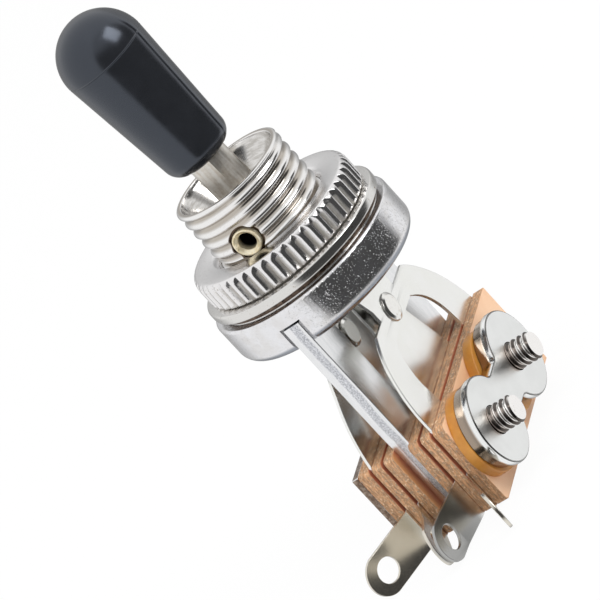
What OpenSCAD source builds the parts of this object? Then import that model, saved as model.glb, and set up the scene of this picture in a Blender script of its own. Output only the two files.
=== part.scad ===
// Panel toggle switch, open frame, three positions, changeover.
// Origin: on the bushing axis at the top face of the cup. +Z runs out of the panel,
// +X runs through the contact stack towards the nut plate, the pivot pin lies along Y.

/* [Bushing] */
// Outer diameter of the threaded bushing
bushing_d = 12; // [11:0.1:13]
// Height of the bushing above the cup
bushing_h = 10.5; // [9.6:0.1:12]
// Bore through the bushing
bushing_bore = 7; // [6.6:0.1:7.4]
// Width of the flared mouth at the rim
mouth_d = 10.8; // [9:0.1:10.9]
// Depth of the flared mouth
mouth_depth = 3.3; // [2.5:0.1:4]
// Height of the pivot pin above the cup
pivot_z = 5.7; // [5.4:0.1:6]
// Outer diameter of the hollow pivot pin
pin_d = 2.8; // [2.4:0.1:3]
// Inner diameter of the hollow pivot pin
pin_bore = 1.7; // [1:0.1:1.9]
// Diameter of the spot face round the pin
spot_face_d = 3.8; // [3.5:0.1:4.2]

/* [Cup] */
// Outer diameter of the cup
cup_d = 20.5; // [20:0.1:22]
// Depth of the cup
cup_h = 4.45; // [4:0.05:5.2]
// Wall of the cup
cup_wall = 1.3; // [0.9:0.1:1.6]
// Thickness of the cup's floor, under the washers
cup_web = 1.8; // [1.4:0.1:2]
// Radius of the cup's lower edge
cup_round = 1.25; // [0.6:0.05:1.25]

/* [Nut and washers] */
// Outer diameter of the dress nut
nut_d = 18.3; // [17:0.1:19]
// Height of the dress nut
nut_h = 3.05; // [2.6:0.05:3.4]
// Number of flutes round the dress nut
nut_flutes = 48; // [36:1:54]
// Depth of a flute
flute_depth = 0.42; // [0.3:0.01:0.5]
// Outer diameter of the flat washer
washer_d = 19.8; // [18.8:0.1:20]
// Thickness of the flat washer
washer_t = 1; // [0.6:0.1:1.2]
// How far the lock washer shows past the dress nut all round
lock_washer_edge = 0.15; // [0.05:0.05:0.5]
// Thickness of the lock washer
lock_washer_t = 0.6; // [0.4:0.05:0.8]

/* [Lever] */
// Diameter of the lever
lever_d = 4.06; // [3.8:0.02:4.2]
// Width of the lever across its flats
lever_flats = 3.6; // [3.2:0.1:3.7]
// Lean of the lever at rest, away from the nut plate
lever_lean = 3; // [0:0.5:6]
// Distance from the pivot to the middle of the ball at the lever's lower end
ball_drop = 8.7; // [8:0.1:9]
// Diameter of the ball
ball_d = 3; // [2.8:0.1:3.2]

/* [Tip] */
// Largest diameter of the tip
tip_d = 8.8; // [8:0.1:10.4]
// Diameter of the tip near its open end
tip_mouth_d = 7.2; // [6.6:0.1:8]
// Length of the tip
tip_length = 17.7; // [15:0.1:20]
// Distance from the pivot to the tip's open end
tip_start = 7.2; // [6.8:0.1:9]
// Radius of the tip's lower edge
tip_round = 2; // [1:0.1:2]
// How far the lever reaches into the tip
tip_grip = 11; // [8:0.5:12]

/* [Frame] */
// Thickness of the frame
frame_t = 1.84; // [1.5:0.02:1.9]
// How far the edge of each arm stands in from the cup's side
arm_inset = 0.05; // [0.05:0.05:0.3]
// Distance from the bushing's spread end to each arm
arm_gap = 0.3; // [0.1:0.05:0.5]
// Height of the contact stack
stack_h = 9.6; // [9:0.1:11]
// Distance from the cup's top face to the top of the contact stack
stack_drop = 17.45; // [16.5:0.05:19]
// How far the insulators reach past the frame on the side of the solder lugs
near_overhang = 1.1; // [0.8:0.1:2]
// How far the insulators reach past the frame on the other side
far_overhang = 2.1; // [0.8:0.1:2.6]
// Thickness of the inner and middle insulators
insulator_t = 1.15; // [1:0.05:1.3]
// Thickness of the outer insulators
outer_insulator_t = 1.3; // [1.2:0.05:1.7]

/* [Leaves] */
// Thickness of the leaf springs
leaf_t = 0.32; // [0.2:0.02:0.4]
// Width of the leaves where they pass under the cup
neck_w = 6.4; // [5.6:0.1:7]
// Depth of the contact rivets below the cup's top face
contact_drop = 9.3; // [9:0.1:10]
// Height of a contact button
contact_h = 0.36; // [0.3:0.02:0.5]
// Diameter of a contact button
contact_d = 2.6; // [2.2:0.1:3]
// Diameter of a rivet's shank
rivet_d = 1.4; // [1:0.1:1.6]
// Gap at the open pair of contacts
contact_open = 0.16; // [0.05:0.01:0.25]
// Width of a solder lug
lug_w = 4.3; // [3.6:0.1:4.5]
// Length of a solder lug, from the stack to its tip
lug_length = 7.8; // [7:0.1:10]
// Diameter of the hole in a solder lug
lug_hole = 2.5; // [1.5:0.1:2.8]

/* [Nut plate and screws] */
// Thickness of the amber spacer
spacer_t = 1.1; // [0.8:0.05:1.3]
// Distance between the two lobes of the amber spacer
spacer_pitch = 9.8; // [9.5:0.1:11]
// Thickness of the nut plate
nut_plate_t = 1.8; // [1.2:0.1:2]
// Diameter of each round lobe of the nut plate
lobe_d = 9.06; // [8.6:0.02:9.4]
// Distance between the two lobes of the nut plate
lobe_pitch = 10.9; // [10.2:0.1:11.4]
// Height of the nut plate's neck, between the lobes
neck_h = 4.5; // [4:0.1:5]
// Radius of the fillets between the neck and the lobes
neck_fillet = 1; // [0.6:0.1:1.2]
// Distance between the two screws
screw_pitch = 10.5; // [10:0.1:10.8]
// Diameter of the screws
screw_d = 2.9; // [2.5:0.1:3]
// How far the screws stand out of the nut plate
screw_out = 2.5; // [1.5:0.1:3.5]
// Thickness of the clamp plate under the screw heads
clamp_t = 0.65; // [0.4:0.05:1]
// Diameter of a screw head
head_d = 4.6; // [4:0.1:5.2]
// Height of a screw's low head
head_h = 0.6; // [0.5:0.05:1.5]
// Wall of the insulating sleeves round the screws
sleeve_wall = 0.3; // [0.2:0.05:0.35]

/* [Hidden] */
$fn = 64;
// Clearance of every turned fit, on the radius
fit = 0.05;
// Overrun of a cutter past the face that it opens
over = 1;

// Heights of the pieces on the bushing
washer_z = lock_washer_t;
nut_z = washer_z + washer_t;
nut_top = nut_z + nut_h;
nut_edge = 0.95;
nut_bevel = 0.55;

// Relief in the thread where it leaves the dress nut
relief_h = 0.7;
relief_depth = 0.35;

// The bushing's lower end: a spigot through the cup's floor, spread below it
spigot_d = bushing_bore + 2.2;
spread_d = spigot_d + 1.4;
spread_t = 0.5;

// The lever's eye turns in the bushing's bore with a gap at its corners
eye_gap = 0.13;
eye_d = 2 * sqrt(pow(bushing_bore / 2 - eye_gap, 2) - pow(lever_flats / 2, 2));

// Depths of the contact stack
stack_top = -stack_drop;
stack_bottom = stack_top - stack_h;
stack_mid = (stack_top + stack_bottom) / 2;

// The frame is as wide as the cup, and the insulators reach past it on both sides
frame_half = cup_d / 2 - arm_inset;
arm_x = spread_d / 2 + arm_gap;
stack_near = -frame_half - near_overhang;
stack_far = frame_half + far_overhang;
stack_y = (stack_near + stack_far) / 2;

// The lock washer is a little wider than the nut that presses on it
lock_washer_d = nut_d + 2 * lock_washer_edge;

// Places of the two screws, the near one as close to the frame's edge as its hole allows
screw_hole = screw_d + 2 * sleeve_wall + 4 * fit;
hole_edge = 0.35;
screw_near_y = -frame_half + hole_edge + screw_hole / 2;
screw_far_y = screw_near_y + screw_pitch;
screw_z = stack_mid + 1.25;
plate_y = (screw_near_y + screw_far_y) / 2 + 0.6;
plate_z = stack_mid + 1.1;
spacer_y = plate_y - 0.45;
spacer_z = plate_z - 0.25;

// Faces of the stack's layers, counted outwards from the frame's middle
inner_leaf_x = frame_t / 2 + insulator_t;
middle_x = inner_leaf_x + leaf_t;
outer_leaf_x = middle_x + insulator_t;
outer_x = outer_leaf_x + leaf_t;
stack_x = outer_x + outer_insulator_t;
plate_x = stack_x + spacer_t;
plate_face_x = plate_x + nut_plate_t;
clamp_x = stack_x + clamp_t;

// Leaf springs
inner_contact_x = 1.78;
closed_contact_x = inner_contact_x + leaf_t + 2 * contact_h;
rivet_flat = 1.7;
inner_end_z = -5.7;
tip_end_z = -2.75;
push_z = pivot_z - ball_drop;
shoulder_r = (stack_far - stack_near) / 2 - 0.6;
shoulder_z = stack_top - 0.75;
window_r = 5;
window_w = 12.8;
window_top = -11;
leaf_edge = 0.5;
corner_cut = 0.35;

// A solder lug bends where it leaves the stack and again before its hole
lug_start = stack_near - 0.25;
lug_root = 4;
lug_z = stack_bottom + 0.1;

// ---- shared shapes -------------------------------------------------------

// Turns a flat shape drawn in the YZ plane into a plate of thickness t, from x = x0
module plate_yz(x0, t) {
    translate([x0, 0, 0]) rotate([90, 0, 90]) linear_extrude(height = t) children();
}

// A round bar along X, from x0 to x1, at [y, z]
module bar_x(x0, x1, d, y, z) {
    translate([x0, y, z]) rotate([0, 90, 0]) cylinder(h = x1 - x0, d = d);
}

// The two holes for the screws and their sleeves, through everything from x0 to x1
module screw_holes(x0, x1, d) {
    for (y = [screw_near_y, screw_far_y])
        bar_x(x0, x1, d, y, screw_z);
}

// ---- lever, tip and pivot ------------------------------------------------

// Puts a piece drawn from the pivot upwards onto the leaning lever
module on_lever() {
    translate([0, 0, pivot_z]) rotate([0, -lever_lean, 0]) children();
}

module tip() {
    dome_z = tip_start + tip_length - tip_d / 2;
    edge_z = tip_start + tip_round;
    mouth_r = tip_mouth_d / 2;
    color([0.07, 0.07, 0.08]) on_lever() difference() {
        rotate_extrude() intersection() {
            translate([0, tip_start]) square([tip_d, tip_length]);
            union() {
                translate([0, dome_z]) circle(d = tip_d);
                polygon([[0, edge_z], [mouth_r, edge_z], [tip_d / 2, dome_z], [0, dome_z]]);
                translate([mouth_r - tip_round, edge_z]) circle(r = tip_round);
                translate([0, tip_start]) square([mouth_r - tip_round, tip_round]);
            }
        }
        translate([0, 0, tip_start - over])
            cylinder(h = over + tip_grip + 0.3, d = lever_d + 2 * fit);
    }
}

module lever() {
    color([0.76, 0.75, 0.72]) on_lever() difference() {
        union() {
            intersection() {
                cylinder(h = tip_start + tip_grip, d = lever_d);
                translate([-lever_d, -lever_flats / 2, 0])
                    cube([2 * lever_d, lever_flats, tip_start + tip_grip]);
            }
            rotate([90, 0, 0]) cylinder(h = lever_flats, d = eye_d, center = true);
            translate([0, 0, -ball_drop]) cylinder(h = ball_drop, d = ball_d - 0.4);
            translate([0, 0, -ball_drop]) sphere(d = ball_d);
        }
        rotate([90, 0, 0]) cylinder(h = eye_d, d = pin_d + 2 * fit, center = true);
    }
}

module pivot_pin() {
    pin_length = bushing_d - 0.4;
    color([0.72, 0.55, 0.30]) translate([0, 0, pivot_z]) rotate([90, 0, 0]) difference() {
        cylinder(h = pin_length, d = pin_d, center = true);
        cylinder(h = pin_length + 2 * over, d = pin_bore, center = true);
    }
}

// ---- bushing, cup, nut and washers ----------------------------------------

module bushing() {
    r = bushing_d / 2;
    spot_depth = 0.7;
    color([0.80, 0.79, 0.76]) difference() {
        rotate_extrude() polygon([
            [bushing_bore / 2, -cup_web - spread_t], [spread_d / 2, -cup_web - spread_t],
            [spread_d / 2, -cup_web], [spigot_d / 2, -cup_web], [spigot_d / 2, 0], [r, 0],
            [r, bushing_h - 0.25], [r - 0.25, bushing_h], [mouth_d / 2, bushing_h],
            [bushing_bore / 2, bushing_h - mouth_depth]]);
        translate([0, 0, nut_top - relief_h]) rotate_extrude()
            translate([r - relief_depth, 0]) square([over, relief_h]);
        translate([0, 0, pivot_z]) rotate([90, 0, 0])
            cylinder(h = 2 * bushing_d, d = pin_d + 2 * fit, center = true);
        for (side = [-1, 1]) translate([0, side * (r - spot_depth + over), pivot_z])
            rotate([90, 0, 0]) cylinder(h = 2 * over, d = spot_face_d, center = true);
    }
}

module cup() {
    r = cup_d / 2;
    edge = 0.3;
    slot_w = frame_t + 2 * fit;
    color([0.82, 0.81, 0.80]) difference() {
        rotate_extrude() difference() {
            union() {
                translate([0, -cup_h + cup_round]) square([r, cup_h - cup_round - edge]);
                translate([0, -cup_h]) square([r - cup_round, cup_h]);
                translate([r - cup_round, -cup_h + cup_round]) circle(r = cup_round);
                translate([0, -edge]) square([r - edge, edge]);
                translate([r - edge, -edge]) circle(r = edge);
            }
            translate([-over, -cup_h - over]) square([r - cup_wall + over, cup_h - cup_web + over]);
            translate([-over, -cup_h - over]) square([spigot_d / 2 + fit + over, cup_h + 2 * over]);
            translate([-r, -cup_h]) square([r, cup_h]);
        }
        translate([-slot_w / 2, -cup_d, -cup_h - over])
            cube([slot_w, 2 * cup_d, cup_h - cup_web + over]);
    }
}

module dress_nut() {
    r = nut_d / 2;
    top_r = r - nut_bevel;
    thread_r = bushing_d / 2 + fit;
    flute_side = flute_depth * 1.7;
    color([0.83, 0.82, 0.80]) translate([0, 0, nut_z]) difference() {
        rotate_extrude() polygon([
            [thread_r, 0], [r - 0.2, 0], [r, 0.2], [r, nut_h - nut_edge],
            [r - nut_bevel * 0.35, nut_h - nut_edge * 0.35], [top_r, nut_h],
            [thread_r + 0.65, nut_h], [thread_r, nut_h - 0.65]]);
        for (i = [0 : nut_flutes - 1]) rotate([0, 0, i * 360 / nut_flutes])
            translate([r - flute_depth + flute_side, 0, -over])
                cylinder(h = nut_h + 2 * over, r = flute_side, $fn = 4);
    }
}

module ring(d, bore, h) {
    rotate_extrude() translate([bore / 2, 0]) square([(d - bore) / 2, h]);
}

module flat_washer() {
    color([0.80, 0.79, 0.77]) translate([0, 0, washer_z])
        ring(washer_d, bushing_d + 4 * fit, washer_t);
}

module lock_washer() {
    tab_w = 1.7;
    tab_reach = 0.35;
    color([0.47, 0.42, 0.36]) union() {
        ring(lock_washer_d, bushing_d + 4 * fit, lock_washer_t);
        translate([-tab_w / 2, -lock_washer_d / 2 - tab_reach, lock_washer_t / 2])
            cube([tab_w, 1, lock_washer_t / 2]);
    }
}

// ---- frame and contact stack ---------------------------------------------

module frame() {
    throat_z = stack_top + 0.25;
    corner = 1.2;
    color([0.70, 0.70, 0.69]) difference() {
        plate_yz(-frame_t / 2, frame_t) difference() {
            translate([-frame_half, stack_bottom])
                square([2 * frame_half, -cup_web - stack_bottom]);
            translate([-arm_x, throat_z + corner]) square([2 * arm_x, -throat_z]);
            translate([-arm_x + corner, throat_z]) square([2 * (arm_x - corner), corner + over]);
            for (side = [-1, 1]) translate([side * (arm_x - corner), throat_z + corner])
                circle(r = corner);
        }
        screw_holes(-frame_t, frame_t, screw_hole);
    }
}

// A plate of the stack's outline, with its two corners on the -Y side cut off by cut
module stack_plate(x0, t, hole_d, cut) {
    difference() {
        plate_yz(x0, t) polygon([
            [stack_near + cut, stack_bottom], [stack_far, stack_bottom], [stack_far, stack_top],
            [stack_near + cut, stack_top], [stack_near, stack_top - cut],
            [stack_near, stack_bottom + cut]]);
        screw_holes(x0 - over, x0 + t + over, hole_d);
    }
}

module insulator(x0, t) {
    color([0.80, 0.55, 0.36]) stack_plate(x0, t, screw_hole, corner_cut);
}

module clamp_plate() {
    color([0.78, 0.78, 0.76]) stack_plate(-clamp_x, clamp_t, screw_d + 2 * fit, corner_cut / 4);
}

// Two round lobes joined by a neck, with a fillet in each of the four corners
module two_lobes(d, pitch) {
    bite = 0.02;
    fillet_z = neck_h / 2 + neck_fillet;
    reach = d / 2 + neck_fillet - bite;
    fillet_y = pitch / 2 - sqrt(pow(reach, 2) - pow(fillet_z, 2));
    touch_z = fillet_z * d / 2 / reach;
    union() {
        for (side = [-1, 1]) translate([side * pitch / 2, 0]) circle(d = d);
        difference() {
            square([pitch, 2 * touch_z], center = true);
            for (sy = [-1, 1], sz = [-1, 1])
                translate([sy * fillet_y, sz * fillet_z]) circle(r = neck_fillet);
            for (sz = [-1, 1]) translate([0, sz * fillet_z])
                square([2 * fillet_y, 2 * neck_fillet], center = true);
        }
    }
}

module amber_spacer() {
    color([0.87, 0.62, 0.20]) difference() {
        plate_yz(stack_x, spacer_t) translate([spacer_y, spacer_z])
            two_lobes(lobe_d - 0.2, spacer_pitch);
        screw_holes(stack_x - over, plate_x + over, screw_hole);
    }
}

module nut_plate() {
    color([0.85, 0.85, 0.84]) difference() {
        plate_yz(plate_x, nut_plate_t) translate([plate_y, plate_z])
            two_lobes(lobe_d, lobe_pitch);
        screw_holes(plate_x - over, plate_face_x + over, screw_d + 2 * fit);
    }
}

// A screw through the stack, with a slotted head on the clamp plate
module stack_screw(y) {
    slot_w = 0.8;
    slot_depth = head_h * 0.6;
    head_round = min(0.3, head_h / 2);
    end_cut = 0.3;
    color([0.72, 0.71, 0.68]) translate([0, y, screw_z]) rotate([0, 90, 0]) difference() {
        rotate_extrude() polygon([
            [0, -clamp_x - head_h], [head_d / 2 - head_round, -clamp_x - head_h],
            [head_d / 2, -clamp_x - head_h + head_round], [head_d / 2, -clamp_x], [screw_d / 2, -clamp_x],
            [screw_d / 2, plate_face_x + screw_out - end_cut],
            [screw_d / 2 - end_cut, plate_face_x + screw_out], [0, plate_face_x + screw_out]]);
        translate([-head_d, -slot_w / 2, -clamp_x - head_h - over])
            cube([2 * head_d, slot_w, over + slot_depth]);
    }
}

module sleeve(y) {
    color([0.88, 0.86, 0.80]) difference() {
        bar_x(-stack_x, plate_x, screw_d + 2 * sleeve_wall + 2 * fit, y, screw_z);
        bar_x(-stack_x - over, plate_x + over, screw_d + 2 * fit, y, screw_z);
    }
}

// ---- leaf springs and contacts ---------------------------------------------

// A strip bent in the XZ plane; path lists [x, z] of its face next to the frame
module bent_strip(path, w) {
    back = [for (i = [len(path) - 1 : -1 : 0]) [path[i][0] + leaf_t, path[i][1]]];
    rotate([90, 0, 0]) linear_extrude(height = w, center = true) polygon(concat(path, back));
}

// The point that lies a given way along a lug, at an angle about Z from -Y
function along(p, way, angle) = [p[0] + way * sin(angle), p[1] - way * cos(angle)];

// One side of a lug's mitred corner at p, between runs at angles a and b; side is 1 or -1
function mitre(p, a, b, side) = let(m = (a + b) / 2, reach = side * leaf_t / 2 / cos((b - a) / 2))
    [p[0] + reach * cos(m), p[1] + reach * sin(m)];

// A solder lug on the -Y side: it leaves the stack at one angle about Z and ends at another
module lug(x, root_angle, end_angle) {
    round_d = lug_w + 0.04;
    hole_back = 0.35;
    mid_x = x + leaf_t / 2;
    inside = [mid_x, stack_near + 1];
    bend = [mid_x, lug_start];
    second = along(bend, lug_root, root_angle);
    centre = along(second, lug_length - lug_root - lug_w / 2, end_angle);
    tip_end = along(centre, lug_w, end_angle);
    corners = [[inside, 0, 0], [bend, 0, root_angle], [second, root_angle, end_angle],
        [tip_end, end_angle, end_angle]];
    translate([0, 0, lug_z]) difference() {
        intersection() {
            linear_extrude(height = lug_w) polygon(concat(
                [for (c = corners) mitre(c[0], c[1], c[2], 1)],
                [for (i = [3 : -1 : 0]) mitre(corners[i][0], corners[i][1], corners[i][2], -1)]));
            translate([centre[0], centre[1], lug_w / 2]) rotate([0, 0, end_angle]) union() {
                translate([-lug_length, 0, -lug_w]) cube([2 * lug_length, 2 * lug_length, 2 * lug_w]);
                bar_x(-over, over, round_d, 0, 0);
            }
        }
        translate([centre[0], centre[1], 0]) rotate([0, 0, end_angle])
            bar_x(-over, over, lug_hole, hole_back, lug_w / 2);
    }
}

module leaf_screw_cuts(x) {
    screw_holes(x - over, x + leaf_t + over, screw_hole);
}

module outer_leaf(push, opening, root_angle, end_angle) {
    rivet_x = closed_contact_x + opening;
    tip_x = ball_d / 2 + fit + push;
    union() {
        difference() {
            intersection() {
                bent_strip([[outer_leaf_x, lug_z], [outer_leaf_x, stack_top],
                    [rivet_x, -contact_drop - rivet_flat], [rivet_x, -contact_drop + rivet_flat],
                    [tip_x, push_z - 0.9], [tip_x, push_z], [tip_x + 0.15, tip_end_z]],
                    2 * stack_far);
                plate_yz(0, outer_leaf_x + over) union() {
                    translate([stack_near + leaf_edge, lug_z])
                        square([stack_far - stack_near - 2 * leaf_edge, stack_top - lug_z]);
                    intersection() {
                        translate([stack_y, shoulder_z]) circle(r = shoulder_r);
                        translate([stack_near, stack_top - over])
                            square([stack_far - stack_near, stack_h]);
                    }
                    translate([-neck_w / 2, -contact_drop]) square([neck_w, contact_drop]);
                }
            }
            plate_yz(0, outer_leaf_x + over) translate([stack_y, 0]) intersection() {
                translate([-window_w / 2, stack_top - 0.4])
                    square([window_w, window_top - stack_top + 0.4]);
                union() {
                    for (side = [-1, 1])
                        translate([side * (window_w / 2 - window_r), window_top - window_r + 0.5])
                            circle(r = window_r);
                    translate([-window_w / 2 + window_r, stack_top - over])
                        square([window_w - 2 * window_r, 2 * window_r]);
                    translate([-window_w / 2, stack_top - over])
                        square([window_w, window_top - window_r + 0.5 - stack_top + over]);
                }
            }
            leaf_screw_cuts(outer_leaf_x);
            bar_x(0, 2 * outer_leaf_x, rivet_d + 2 * fit, 0, -contact_drop);
        }
        lug(outer_leaf_x, root_angle, end_angle);
    }
}

module inner_leaf(root_angle, end_angle) {
    near_y = stack_near + leaf_edge;
    far_y = stack_far - leaf_edge;
    hidden_z = stack_top - 0.3;
    root_w = neck_w + 4.2;
    mid_z = (stack_top - contact_drop) / 2 + 1;
    mid_w = neck_w + 1.4;
    union() {
        difference() {
            intersection() {
                bent_strip([[inner_leaf_x, lug_z], [inner_leaf_x, stack_top],
                    [inner_contact_x, -contact_drop - rivet_flat], [inner_contact_x, inner_end_z]],
                    2 * stack_far);
                plate_yz(0, inner_leaf_x + over) polygon([
                    [near_y, lug_z], [far_y, lug_z], [far_y, hidden_z], [root_w / 2, hidden_z],
                    [mid_w / 2, mid_z], [neck_w / 2, -contact_drop + 0.5], [neck_w / 2, 0],
                    [-neck_w / 2, 0], [-neck_w / 2, -contact_drop + 0.5], [-mid_w / 2, mid_z],
                    [-root_w / 2, hidden_z], [near_y, hidden_z]]);
            }
            leaf_screw_cuts(inner_leaf_x);
            bar_x(0, 2 * inner_leaf_x, rivet_d + 2 * fit, 0, -contact_drop);
        }
        lug(inner_leaf_x, root_angle, end_angle);
    }
}

// A contact rivet: x is the leaf's face on the button side, way points out of the button
module contact(x, way) {
    head_t = 0.3;
    head_w = contact_d + 0.4;
    rim = 0.14;
    color([0.78, 0.76, 0.72]) translate([x, 0, -contact_drop]) rotate([0, 90 * way, 0])
        rotate_extrude() polygon([
            [0, contact_h], [contact_d / 2 - rim, contact_h], [contact_d / 2, contact_h - rim],
            [contact_d / 2, 0], [rivet_d / 2, 0], [rivet_d / 2, -leaf_t], [head_w / 2, -leaf_t],
            [head_w / 2, -leaf_t - head_t / 2], [head_w / 2 - 0.35, -leaf_t - head_t],
            [0, -leaf_t - head_t]]);
}

// The ball at the lever's lower end holds the right outer leaf open at rest
lean_push = ball_drop * sin(lever_lean);
leaf_color = [0.86, 0.86, 0.82];

module outer_leaf_right() { color(leaf_color) outer_leaf(lean_push, contact_open, 30, 30); }
module inner_leaf_right() { color(leaf_color) inner_leaf(-13, -6); }
module outer_leaf_left() { color(leaf_color) mirror([1, 0, 0]) outer_leaf(0, 0, 32, 32); }
module inner_leaf_left() { color(leaf_color) mirror([1, 0, 0]) inner_leaf(-23, -14); }

tip();
lever();
pivot_pin();
bushing();
cup();
dress_nut();
flat_washer();
lock_washer();
frame();
insulator(frame_t / 2, insulator_t);  // insulator_right_inner
insulator(middle_x, insulator_t);  // insulator_right_middle
insulator(outer_x, outer_insulator_t);  // insulator_right_outer
insulator(-inner_leaf_x, insulator_t);  // insulator_left_inner
insulator(-outer_leaf_x, insulator_t);  // insulator_left_middle
insulator(-stack_x, outer_insulator_t);  // insulator_left_outer
amber_spacer();
nut_plate();
clamp_plate();
outer_leaf_left();
outer_leaf_right();
inner_leaf_left();
inner_leaf_right();
contact(-closed_contact_x, 1);  // contact_outer_left
contact(closed_contact_x + contact_open, -1);  // contact_outer_right
contact(-inner_contact_x - leaf_t, -1);  // contact_inner_left
contact(inner_contact_x + leaf_t, 1);  // contact_inner_right
stack_screw(screw_near_y);  // screw_near
stack_screw(screw_far_y);  // screw_far
sleeve(screw_near_y);  // sleeve_near
sleeve(screw_far_y);  // sleeve_far
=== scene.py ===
import math

import bmesh
import bpy
from mathutils import Matrix, Vector


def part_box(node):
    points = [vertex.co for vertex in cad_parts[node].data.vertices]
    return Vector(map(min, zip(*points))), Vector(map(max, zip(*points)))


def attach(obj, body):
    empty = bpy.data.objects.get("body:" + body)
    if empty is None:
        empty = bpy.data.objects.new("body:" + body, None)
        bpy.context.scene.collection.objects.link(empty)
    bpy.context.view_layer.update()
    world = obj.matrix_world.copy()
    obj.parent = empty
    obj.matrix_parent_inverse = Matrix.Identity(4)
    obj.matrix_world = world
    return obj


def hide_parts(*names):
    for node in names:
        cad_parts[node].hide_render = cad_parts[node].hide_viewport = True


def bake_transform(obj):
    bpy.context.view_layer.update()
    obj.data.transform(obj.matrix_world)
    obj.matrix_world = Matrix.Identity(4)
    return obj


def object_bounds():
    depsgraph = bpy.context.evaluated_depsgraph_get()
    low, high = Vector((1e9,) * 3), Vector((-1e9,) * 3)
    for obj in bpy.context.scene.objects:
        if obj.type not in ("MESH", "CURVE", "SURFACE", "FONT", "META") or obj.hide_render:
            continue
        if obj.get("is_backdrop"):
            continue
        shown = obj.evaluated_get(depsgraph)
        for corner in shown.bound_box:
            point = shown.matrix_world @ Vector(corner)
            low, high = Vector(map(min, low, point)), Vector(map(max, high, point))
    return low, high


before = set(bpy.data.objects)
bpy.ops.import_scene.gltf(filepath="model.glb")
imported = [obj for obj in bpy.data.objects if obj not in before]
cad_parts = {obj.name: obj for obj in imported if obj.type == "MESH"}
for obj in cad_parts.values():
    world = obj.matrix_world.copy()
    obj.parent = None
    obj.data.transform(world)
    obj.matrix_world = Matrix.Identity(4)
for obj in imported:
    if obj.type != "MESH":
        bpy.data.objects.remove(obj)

cad_low, cad_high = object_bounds()
mm = 0.001

# ---- camera, floor and light -----------------------------------------------------
# A long lens looks down on the switch from the side of its solder lugs, turned so that
# the lever points to the upper left. The switch stands on a white sheet in a white
# tent, with one dark wall on the side of the nut plate and a dull one behind.
azimuth, elevation, roll = (math.radians(a) for a in (30.526, 18.198, -42.743))
distance, aside, below_axis = 450 * mm, 0.062 * mm, 4.317 * mm
back = Vector((math.sin(azimuth) * math.cos(elevation),
               -math.cos(azimuth) * math.cos(elevation), math.sin(elevation)))
level = Vector((math.cos(azimuth), math.sin(azimuth), 0))
right = math.cos(roll) * level + math.sin(roll) * back.cross(level)
up = back.cross(right)
camera = bpy.data.objects.new("camera", bpy.data.cameras.new("camera"))
camera.data.lens = 293.454
camera.data.sensor_width = 36
camera.data.clip_end = 20
place = back * distance + right * aside - up * below_axis
turn = Matrix((right, up, back)).transposed().to_4x4()
camera.matrix_world = Matrix.Translation(place) @ turn
bpy.context.scene.collection.objects.link(camera)
bpy.context.scene.camera = camera
bpy.context.scene.view_settings.view_transform = "Standard"


class Wire:
    """An output of a shader node. Arithmetic on it adds Math nodes to its tree."""

    def __init__(self, tree, socket=None):
        self.tree, self.socket = tree, socket

    def add(self, kind, values=(), outlet=0, **settings):
        """Any other node: its settings first, then the values or wires of its sockets."""
        node = self.tree.nodes.new("ShaderNode" + kind)
        for name, value in settings.items():
            setattr(node, name, value)
        for slot, value in dict(values).items():
            if isinstance(value, Wire):
                self.tree.links.new(value.socket, node.inputs[slot])
            else:
                node.inputs[slot].default_value = value
        return Wire(self.tree, node.outputs[outlet])

    def math(self, operation, first, second=0.0):
        return self.add("Math", {0: first, 1: second}, operation=operation)

    def __add__(self, other): return self.math("ADD", self, other)
    def __sub__(self, other): return self.math("SUBTRACT", self, other)
    def __rsub__(self, other): return self.math("SUBTRACT", other, self)
    def __mul__(self, other): return self.math("MULTIPLY", self, other)
    def __pow__(self, other): return self.math("POWER", self, other)
    def __abs__(self): return self.math("ABSOLUTE", self)
    __radd__ = __add__

    def fade(self, low, high, start=0.0, end=1.0):
        """start below low and end above high, with a smooth step between them."""
        values = {"Value": self, 1: low, 2: high, 3: start, 4: end}
        return self.add("MapRange", values, interpolation_type="SMOOTHSTEP")

    def tint(self, first, second):
        """The first colour where this wire is 0 and the second where it is 1."""
        colours = [c if isinstance(c, Wire) else (*c, 1) for c in (first, second)]
        values = {0: self, 6: colours[0], 7: colours[1]}
        return self.add("Mix", values, outlet=2, data_type="RGBA")

    def axis(self, letter):
        return self.add("SeparateXYZ", {0: self}, outlet=letter)

    def dot(self, vector):
        return self.add("VectorMath", {0: self, 1: vector}, outlet=1, operation="DOT_PRODUCT")


dark_wall, dull_wall = (0.934, -0.358, 0.0), (0.087, 0.996, 0.0)
world = bpy.data.worlds.new("white tent")
bpy.context.scene.world = world
world.use_nodes = True
sky = Wire(world.node_tree)
ray = {name: sky.add("LightPath", outlet=f"Is {name} Ray") for name in ("Camera", "Glossy")}
# Shiny parts see white walls, the two darker ones, and a greyer one beyond the switch
# that draws their outlines. Everything else is lit by an even, soft tent.
towards = sky.add("TexCoord", outlet="Generated")
steepness = towards.axis("Z")
gloom = towards.dot(dark_wall).fade(0.38, 0.54)
gloom = gloom * steepness.fade(0.25, 0.70, 1.0, 0.25) * steepness.fade(-0.80, -0.50, 0.25, 1.0)
gloom = gloom + towards.dot(dull_wall).fade(0.90, 0.96) * 0.35
outline = towards.dot(-back).fade(0.55, 0.98)
mirrored = (0.98 - gloom * 0.92) * (1 - outline * 0.55)
plain = steepness.fade(-0.6, 0.9, 0.66, 0.80)
strength = plain + ray["Glossy"] * (mirrored - plain)
strength = strength + ray["Camera"] * (1 - strength)
background = world.node_tree.nodes["Background"].inputs
background["Color"].default_value = (1, 1, 1, 1)
world.node_tree.links.new(strength.socket, background["Strength"])

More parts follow.
